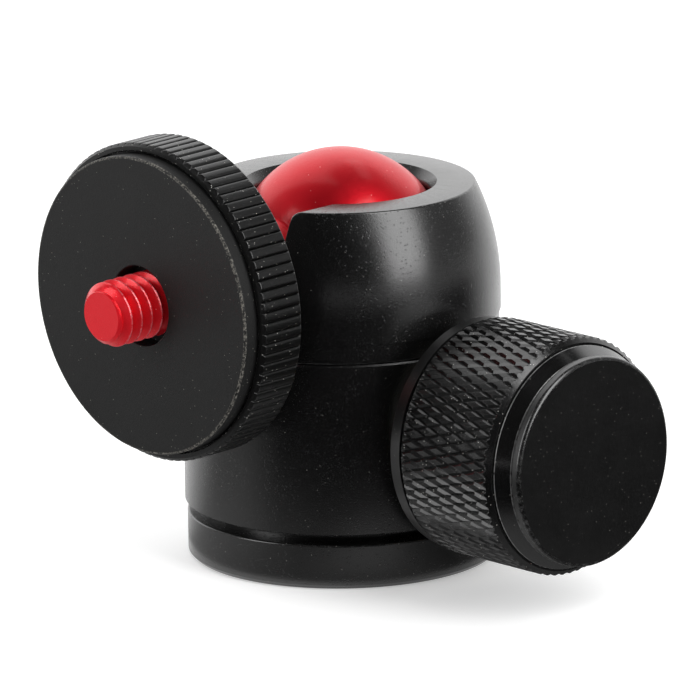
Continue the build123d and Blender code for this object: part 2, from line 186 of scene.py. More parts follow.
def grid_faces(rows, columns):
    """Corner numbers of every cell of a grid of points."""
    first = (np.arange(rows - 1)[:, None] * columns + np.arange(columns - 1)).ravel()
    return np.stack([first, first + 1, first + columns + 1, first + columns], 1)


def halve(cells, rising):
    """Two triangles for each cell, split from first to third corner where rising is true."""
    a, b, c, d = cells.T
    one = np.where(rising, [a, b, c], [a, b, d])
    other = np.where(rising, [a, c, d], [b, c, d])
    return np.hstack([one, other]).T


def with_wear(grid, wear):
    """A grid and its wear, given one value for each row, as make_piece takes them."""
    return grid, np.broadcast_to(np.asarray(wear, float).reshape(-1, 1), grid.shape[:2])


print("columns of a lathe part:", segments)

# %% [markdown]
# ## From grids to a piece
# All grids of a piece are put into one mesh. Points that coincide are welded, which closes seams
# and poles, and the faces are turned outwards. In a closed piece every edge has two faces.

# %% Pieces
weld = 1e-6  # metres
pieces = {}


def make_piece(name, grids, axis, body, slot, stands_for, sharp=35.0):
    """One mesh from grids drawn about Z in mm, riding on a body and standing for a CAD node.
    A grid is (points, wear), or (points, wear, rising) where its cells are to be halved."""
    points = np.concatenate([g[0].reshape(-1, 3) for g in grids])
    wear = np.concatenate([np.asarray(g[1], float).ravel() for g in grids])
    faces, start = [], 0
    for g in grids:
        rows, columns = g[0].shape[:2]
        cells = grid_faces(rows, columns) + start
        faces += (halve(cells, g[2].ravel()) if len(g) == 3 else cells).tolist()
        start += rows * columns
    mesh = bpy.data.meshes.new(name)
    mesh.from_pydata(lay(points, axis) * mm, [], faces)
    attribute = mesh.attributes.new("wear", "FLOAT", "POINT")
    attribute.data.foreach_set("value", wear.astype(np.float32))
    shell = bmesh.new()
    shell.from_mesh(mesh)
    bmesh.ops.remove_doubles(shell, verts=shell.verts, dist=weld)
    bmesh.ops.recalc_face_normals(shell, faces=shell.faces)
    shell.to_mesh(mesh)
    shell.free()
    used = np.empty(len(mesh.loops), np.int32)
    mesh.loops.foreach_get("edge_index", used)
    open_edges = np.sum(np.bincount(used, minlength=len(mesh.edges)) != 2)
    mesh.shade_smooth()
    mesh.set_sharp_from_angle(angle=math.radians(sharp))
    piece = bpy.data.objects.new(name, mesh)
    bpy.context.scene.collection.objects.link(piece)
    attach(piece, body)
    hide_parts(stands_for)
    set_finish(piece, slot)
    pieces[name] = piece
    mesh.calc_loop_triangles()
    print(f"{name}: {len(mesh.loop_triangles)} triangles, {open_edges} open edges")
    return piece


print("welding within", weld, "m")

# %% [markdown]
# ## The base
# The base is the flange that the head stands on, a narrower neck that reads as a dark groove under
# the body, and a spigot up inside it. It is one outline.

# %% Base
flange_radius, flange_top, foot_chamfer = 15.02, 4.3, 0.4
neck_radius, neck_top = 13.2, 5.23
spigot_radius, spigot_top = 11.9, 8.4
socket_radius, socket_top = 4.79, 6.0
well_radius, well_floor = 5.3, 7.2  # where the spring stands

base_outline, base_wear = outline(
    (socket_radius, socket_top),
    (socket_radius, 0, 0.12),
    (flange_radius - foot_chamfer, 0, 0.10),
    (flange_radius, foot_chamfer, 0.12),
    (flange_radius, flange_top, 0.16),
    (neck_radius, flange_top),
    (neck_radius, neck_top),
    (spigot_radius, neck_top),
    (spigot_radius, spigot_top, 0.1),
    (well_radius, spigot_top, 0.1),
    (well_radius, well_floor),
    (0, well_floor),
)
base_outline = np.vstack([[0, socket_top], base_outline])
base_wear = np.r_[0, base_wear]
grids = [with_wear(revolve(base_outline), base_wear)]
make_piece("base", grids, "body", "head_body", "black_anodised", "base_plug")

# %% [markdown]
# ## The barrel
# The upper body is turned with a crowned skin, a countersunk mouth and a step at its foot. Then a
# round cutter drops a notch into its side, and its edges are broken by hand. The notch's wall is a
# grid of its own: its rows run up the notch and its columns run in from the skin, first round the
# broken edge and then straight to the bore. Its top row is shared with the flat top.

# %% Sizes of the barrel
body_radius, band_radius = 15.24, 15.06
seam, band_top, skin_break = 21.95, 23.80, 0.05
crown_start, crown_radius = 26.02, 23.0
barrel_top = 36.12
mouth_low, mouth_edge, mouth_top = 8.60, 35.09, 9.25
seat_radius, seat_top, cavity = 10.12, 34.63, 10.40
pocket, pocket_low, pocket_middle, pocket_high = 11.15, 29.95, 31.5, 33.15
spigot_bore, ledge = 12.78, 25.45
notch_half, notch_centre = 5.55, 29.55
notch_edge = 0.30  # radius of the broken edge round the notch and the top
notch_corner = 0.75  # radius of the notch's two upper corners


def skin(height):
    """Radius of the crowned skin: a cylinder, then an arc that leans in."""
    rise = np.maximum(0, height - crown_start)
    return body_radius - crown_radius + np.sqrt(crown_radius**2 - rise**2)


print("the crown leans in by", round(body_radius - float(skin(barrel_top)), 2), "mm")

# %% [markdown]
# ### The bore above the notch's middle
# From the cavity up: a pocket for the plastic ring, a seat that follows the ball, and the
# countersunk mouth. The notch's wall gets one row for each of these points, so that both meet.

# %% Bore
seat_heights = np.linspace(pocket_high, seat_top, 6)
seat_radii = np.sqrt(seat_radius**2 - (seat_heights - ball_height) ** 2)
countersink = (mouth_top - mouth_low) / (barrel_top - mouth_edge)
mouth_at_corner = mouth_low + (barrel_top - notch_corner - mouth_edge) * countersink
bore = np.vstack(
    [
        [[cavity, pocket_low], [pocket, pocket_low]],
        [[pocket, pocket_middle], [pocket, pocket_high]],
        np.stack([seat_radii, seat_heights], 1),
        [[mouth_low, mouth_edge], [mouth_at_corner, barrel_top - notch_corner]],
    ]
)
print("bore points:", len(bore))

# %% [markdown]
# ### The notch's wall
# Seen along Y, the wall climbs a quarter circle, then a straight side, then a small rounded corner.
# Each of its rows knows its place and the direction into the metal, and ends at the bore.

# %% Rows of the notch's wall
ledge_turn = math.acos((notch_centre - ledge) / notch_half)
beside = 0.006  # rows just below and above the ledge, in radians
low_turns = np.radians(np.linspace(0, 90, 19))
low_turns = np.sort(np.r_[low_turns, ledge_turn - beside, ledge_turn + beside])
straight_heights = np.linspace(notch_centre, barrel_top - notch_corner, len(bore) + 1)[1:]
flare = np.radians(np.linspace(0, 90, 9))[1:]

wall_x = np.r_[
    notch_half * np.sin(low_turns),
    notch_half + 0 * straight_heights,
    notch_half + notch_corner * (1 - np.cos(flare)),
]
wall_z = np.r_[
    notch_centre - notch_half * np.cos(low_turns),
    straight_heights,
    barrel_top - notch_corner * (1 - np.sin(flare)),
]
inward_x = np.r_[np.sin(low_turns), 1 + 0 * straight_heights, np.cos(flare)]
inward_z = np.r_[-np.cos(low_turns), 0 * straight_heights, -np.sin(flare)]

# where the same rows meet the bore
lower, upper = len(low_turns), len(low_turns) + len(bore)
bore_x, bore_z = wall_x.copy(), wall_z.copy()
on_ledge = np.flatnonzero(np.abs(low_turns - ledge_turn) < 2 * beside)
bore_x[on_ledge] = notch_half * math.sin(ledge_turn)
bore_r = np.where(bore_z < ledge, spigot_bore, cavity)
bore_z[on_ledge] = ledge
bore_r[lower:upper], bore_z[lower:upper] = bore[:, 0], bore[:, 1]
bore_r[upper:] = mouth_low + (bore_z[upper:] - mouth_edge) * countersink
print("rows of the wall:", len(wall_x))

# %% Wall of the notch
lean = math.radians(24)  # how far the skin has turned away from the wall's normal
bend = np.linspace(lean, math.pi / 2, 6)
edge_in = notch_edge * (math.cos(lean) - np.cos(bend))
edge_off = notch_edge * (1 - np.sin(bend))
edge_x = wall_x[:, None] + inward_x[:, None] * edge_off
edge_z = wall_z[:, None] + inward_z[:, None] * edge_off
skin_r = skin(edge_z[:, 0])
edge_y = -np.sqrt(skin_r**2 - edge_x[:, 0] ** 2)[:, None] + edge_in
bore_edge = np.stack([bore_x, -np.sqrt(bore_r**2 - bore_x**2), bore_z], 1)[:, None]
wall = np.concatenate([np.stack([edge_x, edge_y, edge_z], 2), bore_edge], 1)
wall_wear = np.broadcast_to(np.r_[np.ones(len(bend)), 0], wall.shape[:2])
print("columns of the wall:", wall.shape[1])

# %% [markdown]
# ### Rings and wall together
# The skin, the flat top and the bore are stacks of gapped rings, and the gap of each is as wide as
# the wall's row. The second wall is the first one mirrored.

# %% Barrel
shares = np.r_[0, 0.0008, np.linspace(0.004, 0.996, 250), 0.9992, 1]  # closer beside the gap
half_worn = 0.8


def gapped_rings(radius, height, half_gap):
    """Rings with a gap towards -Y: angles from asin(half gap / radius) to a turn less that."""
    start = np.arcsin(half_gap / radius)[:, None]
    return lathe_grid(radius[:, None], start + (turn - 2 * start) * shares, height[:, None])


skin_rings = gapped_rings(skin_r, edge_z[:, 0], edge_x[:, 0])
bore_rings = gapped_rings(bore_r, bore_z, bore_x)
top_r = np.hypot(wall[-1, :, 0], wall[-1, :, 1])
top_rings = gapped_rings(top_r, wall[-1, :, 2], wall[-1, :, 0])
side_wear = np.zeros(skin_rings.shape[:2])
side_wear[:, [0, 1, -2, -1]] = 1
side_wear[-1] = 1
foot_path, foot_wear = outline(
    (spigot_bore, bore_z[0]),
    (spigot_bore, seam),
    (band_radius, seam, 0.15),
    (band_radius, band_top),
    (body_radius - skin_break, band_top),
    (body_radius, edge_z[0, 0]),
)
foot_wear[-2:] = half_worn
foot_rings = gapped_rings(foot_path[:, 0], foot_path[:, 1], 0 * foot_path[:, 0])
grids = [
    (skin_rings, side_wear),
    with_wear(top_rings, np.r_[np.ones(len(bend)), half_worn]),
    with_wear(bore_rings, 0),
    (wall, wall_wear),
    (wall * [-1, 1, 1], wall_wear),
    with_wear(foot_rings, foot_wear),
]
make_piece("barrel", grids, "body", "head_body", "black_anodised", "upper_housing")

# %% [markdown]
# ## Screw threads
# A thread is a groove wound round a bar: the radius depends only on where a point lies along the
# pitch. If the grid's rows climb by one pitch for each turn, every row stays on the same spot of
# the thread, so crests and roots come out as clean lines. Rows that would run past the ends are
# held at the ends, where welding removes what has collapsed.

# %% Threads
pitch = 1.27  # a quarter inch, 20 to the inch
thread_depth = 0.613 * pitch
flat_root, flat_crest = 0.17, 0.13  # shares of the pitch
rows_per_pitch = 12
thread_columns = 192


def thread_share(phase):
    """Height over the root, 0 to 1, of a 60 degree thread with a flat root and a flat crest."""
    across = 1 - np.abs(2 * (phase % 1) - 1)
    return np.clip((across - flat_root) / (1 - flat_root - flat_crest), 0, 1)


def thread_grid(low, high, radius_at):
    """Grid whose rows follow the helix: height = start + pitch * angle / turn, held to the ends.
    The phase of a point is (height - low) / pitch - angle / turn."""
    a = np.linspace(0, turn, thread_columns + 1)
    step = pitch / rows_per_pitch
    starts = np.arange(low - pitch, high + step, step)[:, None]
    height = np.clip(starts + pitch * a / turn, low, high)
    radius = radius_at(height, (height - low) / pitch - a / turn)
    return lathe_grid(radius, a, height), radius


print("thread depth", round(thread_depth, 3), "mm")

# %% [markdown]
# ## The tripod socket
# A steel bush in the base takes the tripod's screw. Its thread is the same grid seen from inside:
# the crests point inwards, and fade out at both ends, where a real thread is countersunk.

# %% Threaded bush
bush_outer, bush_bore, bush_top = 4.76, 3.2, 5.95
bush_fade = 0.6


def bush_radius_at(height, phase):
    """The bore's radius less the thread's height, which fades to nothing at both ends."""
    end_room = np.minimum(height, bush_top - height)
    return bush_bore - thread_depth * np.clip(end_room / bush_fade, 0, 1) * thread_share(phase)


bush_thread = thread_grid(0, bush_top, bush_radius_at)[0]
bush_path, bush_wear = outline(
    (bush_bore, 0),
    (bush_outer, 0, 0.1),
    (bush_outer, bush_top, 0.1),
    (bush_bore, bush_top),
)
grids = [with_wear(revolve(bush_path, thread_columns), bush_wear), with_wear(bush_thread, 0)]
make_piece("socket_bush", grids, "body", "head_body", "plain_steel", "thread_bush")

# %% [markdown]
# ## The spring under the block
# A light coil spring holds the brass block up. It is a round wire carried along a helix, closed at
# both ends. When the knob is loosened the block sinks, and a real spring shortens.

# %% Lift spring
spring_low, spring_high = (corner[2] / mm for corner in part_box("lift_spring"))
coil_radius, wire_radius, coils = 4.6, 0.4, 2.0

along_coil = np.linspace(0, coils * turn, 161)[:, None]
round_wire = np.linspace(0, turn, 25)
rise = (spring_high - spring_low - 2 * wire_radius) / (coils * turn)
climb = math.atan2(rise, coil_radius)
outwards = wire_radius * np.cos(round_wire)
upwards = wire_radius * np.sin(round_wire)
tube = lathe_grid(
    coil_radius + outwards,
    along_coil - upwards * math.sin(climb) / coil_radius,
    spring_low + wire_radius + rise * along_coil + upwards * math.cos(climb),
)
middles = tube[[0, -1], :-1].mean(1)[:, None] + 0 * tube[:2]
wire_grid = np.concatenate([middles[:1], tube, middles[1:]])
grids = [with_wear(wire_grid, 0)]
spring = make_piece("coil_spring", grids, "body", "head_body", "plain_steel", "lift_spring")
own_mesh(spring)

# %% [markdown]
# ## Ball, stem and camera screw
# The red part is turned in one piece: a ball, a stem that leaves it with a small hollow fillet, a
# shoulder, and the camera screw. The fillet is an arc that touches ball and stem.

# %% Ball and stem
ball_radius = 10.0
stem_radius = 4.75
foot_fillet = 0.8
shoulder = 18.95
stud_radius = 3.15

fillet_side = stem_radius + foot_fillet
fillet_height = math.sqrt((ball_radius + foot_fillet) ** 2 - fillet_side**2)
touch = np.array([fillet_side, fillet_height]) * ball_radius / (ball_radius + foot_fillet)
sphere = arc_between((0, -ball_radius), touch, (0, 0), 110)
hollow = arc_between(touch, (stem_radius, fillet_height), (fillet_side, fillet_height), 12)
stem_top, stem_wear = outline(
    (stem_radius, fillet_height),
    (stem_radius, shoulder, 0.15),
    (stud_radius, shoulder),
)
stem_path = np.vstack([sphere, hollow[1:], stem_top[1:]])
stem_path_wear = np.r_[np.zeros(len(sphere) + len(hollow) - 1), stem_wear[1:]]
print("points of the outline:", len(stem_path))

# %% [markdown]
# ### The camera screw
# The thread fades in over a short run-out at the shoulder, and its tip is chamfered. The tip's
# flat end closes it.

# %% Camera screw
stud_tip = 31.105
tip_chamfer = 0.83
tip_ring = 1.2  # radius of one more ring on the flat end
run_out = 0.7
# the crest band is where the thread rubs, and its pale pink is also a painted highlight
crest_band = 0.12  # mm below the crest that rubs


def stud_radius_at(height, phase):
    """Thread that fades in over the run-out and is cut back by the tip's 45 degree cone."""
    fade = np.clip((height - shoulder) / run_out, 0, 1)
    threaded = stud_radius - thread_depth * fade * (1 - thread_share(phase))
    cone = stud_radius - tip_chamfer + (stud_tip - height)
    return np.minimum(threaded, cone)


stud_grid, stud_radii = thread_grid(shoulder, stud_tip, stud_radius_at)
crest_wear_and_highlight = np.clip((stud_radii - stud_radius + crest_band) / crest_band, 0, 1)
tip_radii = np.array([[stud_radius - tip_chamfer], [tip_ring], [0]])
tip_grid = revolve(np.c_[tip_radii, stud_tip + 0 * tip_radii], thread_columns)
grids = [
    with_wear(revolve(stem_path, thread_columns), stem_path_wear),
    (stud_grid, crest_wear_and_highlight),
    with_wear(tip_grid, 0),
]
make_piece("ball_stem_and_screw", grids, "stem", "ball_and_screw", "red_anodised", "ball")

# %% [markdown]
# ## The ribbed wheel
# The wheel's rim is cut with straight grooves, which leave broad flat-backed ribs with rounded
# shoulders. On a rib the drop below the crest grows with the sixth power of the distance from its
# middle, so the back is nearly flat and the sides fall away steeply. The columns stand closer
# together near the grooves, where the shape turns.

# %% Columns of the wheel
wheel_radius = 15.24
wheel_back, wheel_front = 19.63, 24.69
recess_radius, recess_floor = 14.41, 24.14
screw_hole, washer_radius = 3.2, 4.75
ribs = 94
rib_depth = 0.25
rim_chamfer = 0.32
rim_band = 0.10  # mm below the crest that rubs

across_rib = np.array([-0.5, -0.455, -0.40, -0.31, -0.16, 0.0, 0.16, 0.31, 0.40, 0.455])
across_rib = np.append(np.tile(across_rib, ribs), -0.5)
rib_number = np.append(np.repeat(np.arange(ribs), len(across_rib) // ribs), ribs)
rim_angle = (rib_number + across_rib + 0.5) / ribs * turn
print("columns of the wheel:", len(rim_angle))

# %% [markdown]
# ### Rim, back and recess
# Chamfers at both rims cut the ribs back. The front has a recess that the pad stands in.

# %% Platform wheel
wheel_inside, wheel_inside_wear = outline(
    (wheel_radius - rim_chamfer, wheel_front),
    (recess_radius, wheel_front, 0.14),
    (recess_radius, recess_floor),
    (screw_hole, recess_floor),
    (screw_hole, wheel_back),
)
rim_heights = np.r_[
    np.linspace(wheel_back, wheel_back + rim_chamfer + 0.1, 7),
    np.linspace(wheel_back + 1, wheel_front - 1, 4),
    np.linspace(wheel_front - rim_chamfer - 0.1, wheel_front, 7),
]
edge_room = np.minimum(rim_heights - wheel_back, wheel_front - rim_heights)[:, None]
ribbed = wheel_radius - rib_depth * (2 * np.abs(across_rib)) ** 6
rim_radius = np.minimum(ribbed, wheel_radius - rim_chamfer + edge_room)
rim_grid = lathe_grid(rim_radius, rim_angle, rim_heights[:, None])
near_rim = edge_room < rim_chamfer + 0.05
rim_wear = np.clip(1 - (wheel_radius - rim_radius) / rim_band, 0, 1) * near_rim
back_radii = np.array([[screw_hole], [washer_radius], [wheel_radius - rim_chamfer]])
back_grid = lathe_grid(back_radii, rim_angle, wheel_back)
inside_grid = lathe_grid(wheel_inside[:, :1], rim_angle, wheel_inside[:, 1:])
grids = [
    with_wear(back_grid, 0),
    (rim_grid, rim_wear),
    with_wear(inside_grid, wheel_inside_wear),
]
make_piece("platform_wheel_ribbed", grids, "stem", "wheel", "black_anodised", "platform_wheel")

# %% [markdown]
# ## The rubber pad
# A plain disc of rubber with softened edges, proud of the wheel, with a hole round the screw. Its
# face has a few more rings near the rim, which carry the dust that gathers there.

# %% Camera pad
pad_back, pad_front, pad_radius, pad_hole = 24.19, 26.17, 14.26, 3.85
dusty_rings = [11.0, 12.6, 13.4]
pad_path, pad_wear = outline(
    (pad_hole, pad_back),
    (pad_radius, pad_back, 0.1),
    (pad_radius, pad_front, 0.22),
    *[(radius, pad_front) for radius in dusty_rings[::-1]],
    (pad_hole, pad_front, 0.1),
    (pad_hole, pad_back),
)
face_dust = np.interp(pad_path[:, 0], dusty_rings, [0, 0.10, 0.25])
pad_wear = np.maximum(pad_wear * (pad_path[:, 0] > pad_radius / 2), face_dust)
grids = [with_wear(revolve(pad_path), pad_wear)]
make_piece("pad", grids, "stem", "pad", "pad_rubber", "camera_pad")

# %% [markdown]
# ## The diamond-knurled grip
# Knurling wheels roll two families of grooves into the sleeve, one leaning left and one leaning
# right of the knob's axis. Counted in grooves, a point has two numbers, one for each family, and
# the depth there is that of the nearer groove, so flat-topped pyramids stand between them.

# %% Pattern of the knurl
grip_radius = 11.38
grip_back, grip_front = 19.05, 30.90
grip_bore = 8.83
grooves = 70
lead_in = 3.34  # mm along the axis for a groove to move over by one
knurl_depth = 0.21
crest_flat = 0.5  # share of the way from groove to crest that is flat
worn_from = 0.75  # share of that way from which the crest rubs
grip_chamfer = 0.52
steps = 8  # columns and rows for each groove


def off_groove(count):
    """Distance from the nearest groove, 0 in its bottom and 1 midway to the next."""
    return np.abs(2 * ((count + 0.5) % 1) - 1)


print("a groove comes every", round(turn * grip_radius / grooves, 2), "mm")

# %% [markdown]
# ### The grip
# The grid's steps are a whole part of the pattern, with a few more rows for the chamfers at both
# ends, and each cell is halved along its nearer groove.

# %% Knurled grip
height_step = lead_in / steps
knurl_rows = np.arange(math.ceil((grip_front - grip_back) / height_step) + 1)
end_rows = np.array([0.0, 0.12, 0.25, 0.38, grip_chamfer, grip_chamfer + 0.06])
knurl_heights = np.minimum(grip_back + knurl_rows * height_step, grip_front)
knurl_heights = np.r_[knurl_heights, grip_back + end_rows, grip_front - end_rows]
knurl_heights = np.unique(np.round(knurl_heights, 6))[:, None]
knurl_angle = np.linspace(0, turn, grooves * steps + 1)
around = knurl_angle / turn * grooves
along = (knurl_heights - grip_back) / lead_in
nearer = np.minimum(off_groove(around + along), off_groove(around - along))
end_room = np.minimum(knurl_heights - grip_back, grip_front - knurl_heights)
knurled = grip_radius - knurl_depth * (1 - np.clip(nearer / (1 - crest_flat), 0, 1))
knurled = np.minimum(knurled, grip_radius - grip_chamfer + end_room)
knurl_grid = lathe_grid(knurled, knurl_angle, knurl_heights)
mid_around = (around[1:] + around[:-1]) / 2
mid_along = (along[1:] + along[:-1]) / 2
rising = off_groove(mid_around - mid_along) < off_groove(mid_around + mid_along)
knurl_wear = np.clip((nearer - worn_from) / (1 - worn_from), 0, 1)
end_radius = grip_radius - grip_chamfer
bore_radii = np.array([[end_radius], [grip_bore], [grip_bore], [end_radius]])
bore_heights = np.repeat([grip_front, grip_back], 2)[:, None]
bore_grid = lathe_grid(bore_radii, knurl_angle, bore_heights)
grids = [(knurl_grid, knurl_wear, rising), with_wear(bore_grid, 0)]
make_piece("grip_knurled", grids, "knob", "knob", "black_anodised", "knob_grip", sharp=18.0)

# %% [markdown]
# ## Ring and cap
# In front of the grip sits a smooth tapered ring, and in front of that a flat cap with a rounded
# edge and a narrow groove behind it. The cap has a boss that fills the ring's hole.

# %% Ring
ring_hole, ring_back, ring_front = 5.9, 30.95, 32.45
ring_wide, ring_narrow = 10.75, 9.80
ring_path, ring_wear = outline(
    (ring_hole, ring_back),
    (ring_wide, ring_back, 0.12),
    (ring_narrow, ring_front, 0.15),
    (ring_hole, ring_front),
    (ring_hole, ring_back),
)
grids = [with_wear(revolve(ring_path), ring_wear)]
make_piece("front_ring", grids, "knob", "knob", "black_anodised", "knob_ring")

# %% Cap
boss_radius, boss_back, boss_front = 5.87, 31.15, 32.50
groove_radius, groove_front = 9.75, 32.75
cap_radius, cap_front = 10.0, 33.65
cap_path, cap_wear = outline(
    (0, boss_back),
    (boss_radius, boss_back),
    (boss_radius, boss_front),
    (groove_radius, boss_front),
    (groove_radius, groove_front),
    (cap_radius, groove_front, 0.06),
    (cap_radius, cap_front, 0.50),
    (9.2, cap_front),
    (5.0, cap_front),
    (0, cap_front),
)
grids = [with_wear(revolve(cap_path), cap_wear)]
make_piece("front_cap", grids, "knob", "knob", "black_anodised", "knob_cap")

# %% [markdown]
# ## Shader maths as plain expressions
# A finish is a small graph of nodes. A wire wraps one socket of it, so that sums of sockets are
# written like sums of numbers.

# %% Wire


class Wire:
    """A number carried by a socket. An expression on wires adds the Math nodes that work it out."""

    def __init__(self, tree, socket):
        self.tree = tree
        self.socket = socket

    def math(self, operation, first, second):
        """One Math node on two numbers or wires."""
        node = self.tree.nodes.new("ShaderNodeMath")
        node.operation = operation
        for place, value in enumerate((first, second)):
            if isinstance(value, Wire):
                self.tree.links.new(value.socket, node.inputs[place])
            else:
                node.inputs[place].default_value = value
        return Wire(self.tree, node.outputs[0])

    def __add__(self, other):
        return self.math("ADD", self, other)

    def __radd__(self, other):
        return self.math("ADD", other, self)

    def __sub__(self, other):
        return self.math("SUBTRACT", self, other)

    def __rsub__(self, other):
        return self.math("SUBTRACT", other, self)

    def __mul__(self, other):
        return self.math("MULTIPLY", self, other)

    def __rmul__(self, other):
        return self.math("MULTIPLY", other, self)

    def __gt__(self, other):
        return self.math("GREATER_THAN", self, other)

    def __lt__(self, other):
        return self.math("LESS_THAN", self, other)


print("a wire takes + - * > and <")

# %% [markdown]
# ## A graph of nodes
# One method adds any node: it sets the node's settings first and then its sockets. The others are
# short names for the nodes that come up most.

# %% Graph


class Graph:
    """A tree of nodes, emptied first."""

    def __init__(self, tree):
        self.tree = tree
        tree.nodes.clear()

    def add(self, kind, settings, values, output=0):
        """Any node: its type, settings, values or wires by socket, and the output used."""
        node = self.tree.nodes.new(kind)
        for key, value in settings.items():
            setattr(node, key, value)
        for key, value in values.items():
            self.set(node.inputs[key], value)
        return Wire(self.tree, node.outputs[output]) if node.outputs else node

    def set(self, socket, value):
        """A socket's own value, or a wire into it."""
        if isinstance(value, Wire):
            self.tree.links.new(value.socket, socket)
        else:
            socket.default_value = value

    def ray(self, kind):
        """1 for one kind of ray, such as Camera or Glossy, and 0 for others."""
        return self.add("ShaderNodeLightPath", {}, {}, f"Is {kind} Ray")

    def dot(self, vector, other):
        """Dot product of two vectors."""
        values = {0: vector, 1: other}
        return self.add("ShaderNodeVectorMath", {"operation": "DOT_PRODUCT"}, values, "Value")

    def mix(self, share, first, second):
        """Colour between two colours or colour wires."""
        return self.add("ShaderNodeMix", {"data_type": "RGBA"}, {0: share, 6: first, 7: second}, 2)

    def ramp(self, value, low, high):
        """0 below low, 1 above high, smooth between."""
        values = {"Value": value, "From Min": low, "From Max": high}
        return self.add("ShaderNodeMapRange", {"interpolation_type": "SMOOTHSTEP"}, values)


print("a node takes a type, settings, sockets and an output")

# %% [markdown]
# ## A finish
# A finish is a graph with one Principled shader, and textures measured in the object's own metres.
# The pattern of the spots is slanted, so that its cells don't line up with a flat face.

# %% Finish
slant = (0.62, 0.41, 0.83)  # radians


class Finish(Graph):
    """A material built round one Principled shader."""

    def __init__(self, name):
        self.material = bpy.data.materials.new(name)
        self.material.use_nodes = True
        super().__init__(self.material.node_tree)
        self.out = self.tree.nodes.new("ShaderNodeOutputMaterial")
        self.shader = self.tree.nodes.new("ShaderNodeBsdfPrincipled")
        self.surface(Wire(self.tree, self.shader.outputs[0]))
        self.place = self.add("ShaderNodeTexCoord", {}, {}, "Object")
        turned = {"Vector": self.place, "Rotation": slant}
        self.slanted = self.add("ShaderNodeMapping", {}, turned)

    def surface(self, shader):
        """Wires a shader to the material's output."""
        self.set(self.out.inputs["Surface"], shader)

    def principled(self, **values):
        """Sockets of the Principled shader, named with _ for each space."""
        for key, value in values.items():
            self.set(self.shader.inputs[key.replace("_", " ")], value)

    def noise(self, scale, detail=2.0, roughness=0.5):
        """Cloudy noise, 0 to 1, of so many blobs to the metre."""
        values = {"Vector": self.place, "Scale": scale, "Detail": detail, "Roughness": roughness}
        return self.add("ShaderNodeTexNoise", {}, values)

    def scatter(self, scale, size, share):
        """Round spots in a share of a scattered pattern's cells, 1 in their middle.
        The scale is cells to the metre, and the size is in cells."""
        values = {"Vector": self.slanted, "Scale": scale}
        near = self.add("ShaderNodeTexVoronoi", {}, values, "Distance")
        chance = self.add("ShaderNodeTexVoronoi", {}, values, "Color")
        picked = self.add("ShaderNodeSeparateColor", {}, {0: chance}, "Red") < share
        return (1 - self.ramp(near, size * 0.5, size)) * picked

    def bump(self, height, distance):
        """Normal of a surface raised by height times distance in metres."""
        return self.add("ShaderNodeBump", {}, {"Height": height, "Distance": distance})

    def wear(self):
        """The piece's own edge mask; a CAD node has none, and reads 0."""
        return self.add("ShaderNodeAttribute", {"attribute_name": "wear"}, {}, "Fac")


def grey(value):
    """A neutral colour."""
    return (value, value, value, 1.0)


print("spots are slanted by", slant, "radians")

# %% [markdown]
# ## Black anodised aluminium
# The body is blasted, then dyed black in its oxide. The colour is nearly nothing: what shows is the
# soft mirror of the oxide, whose index of refraction is high, broken up by the blasted grain and a
# few pits. Pale dust lies on it, and on edges the dye is thinner. On the ring the paler edges are
# made bright as a painted highlight, and on the wheel the many pale specks are partly dust and
# partly painted glints.

# %% Black anodised finish
oxide_ior = 1.75
little_dust = (0.06, 0.20)  # share of the spots, and paleness


def black_anodised(
    name, roughness, grain, pits, ior=oxide_ior, wear_and_highlight_tone=0.035, wear_and_highlight_from=0.40, dust=little_dust
):
    """Grain and pit bump, pale dust and thin dye on edges over a dark dielectric skin. Grain and
    pits are depths in metres, and the edge tone is the paleness of a worn edge; set high, as on the
    ring, it is a painted highlight."""
    f = Finish(name)
    fine = f.noise(7500, 2.0, 0.6)
    broad = f.noise(350, 2.0, 0.5)
    pit = f.scatter(2600, 0.24, 1.0)
    edge = f.wear()
    edge_wear_and_highlight = f.ramp(edge * f.noise(2600, 2.0, 0.6), wear_and_highlight_from, wear_and_highlight_from + 0.35)
    share, tone = dust
    # pale specks: dust, and on the wheel also painted glints
    dust_and_glint_specks = f.scatter(3100, 0.17, share + edge * 0.25)
    base_tone = f.mix(broad, grey(0.0018), grey(0.0035))
    # paler edges: thinner dye where worn, and where the edge tone is set high, a painted highlight
    worn_and_highlit = f.mix(edge_wear_and_highlight, base_tone, grey(wear_and_highlight_tone))
    f.principled(
        Base_Color=f.mix(dust_and_glint_specks, worn_and_highlit, (tone, tone * 0.97, tone * 0.9, 1.0)),
        Roughness=roughness + (fine - 0.5) * 0.12 + (broad - 0.5) * 0.05 - edge * 0.06,
        IOR=ior,
        Normal=f.bump(fine * (grain / pits) - pit, pits),
    )
    return f.material


body_black = black_anodised("body_black_anodised", 0.25, 8e-6, 11e-6)
# the wheel's many pale specks are partly dust and partly painted glints in its rib highlights
wheel_black_dust_and_glints = black_anodised("wheel_black_anodised_dust_and_glints", 0.32, 5e-6, 8e-6, ior=1.50, dust=(0.34, 0.44))
knob_black = black_anodised("knob_black_anodised", 0.24, 3e-6, 4e-6, ior=1.62, dust=(0.28, 0.46))
# painted highlight: the ring's edge tone is raised into a bright line on top of the wear, standing
# for light on its rounded edges
ring_black_painted_highlight = black_anodised("ring_black_anodised_painted_highlight", 0.19, 2e-6, 3e-6, wear_and_highlight_tone=0.12, wear_and_highlight_from=0.2)
cap_black = black_anodised("cap_black_anodised", 0.32, 2e-6, 3e-6, wear_and_highlight_tone=0.03, dust=(0.20, 0.16))
print("finish:", body_black.name)
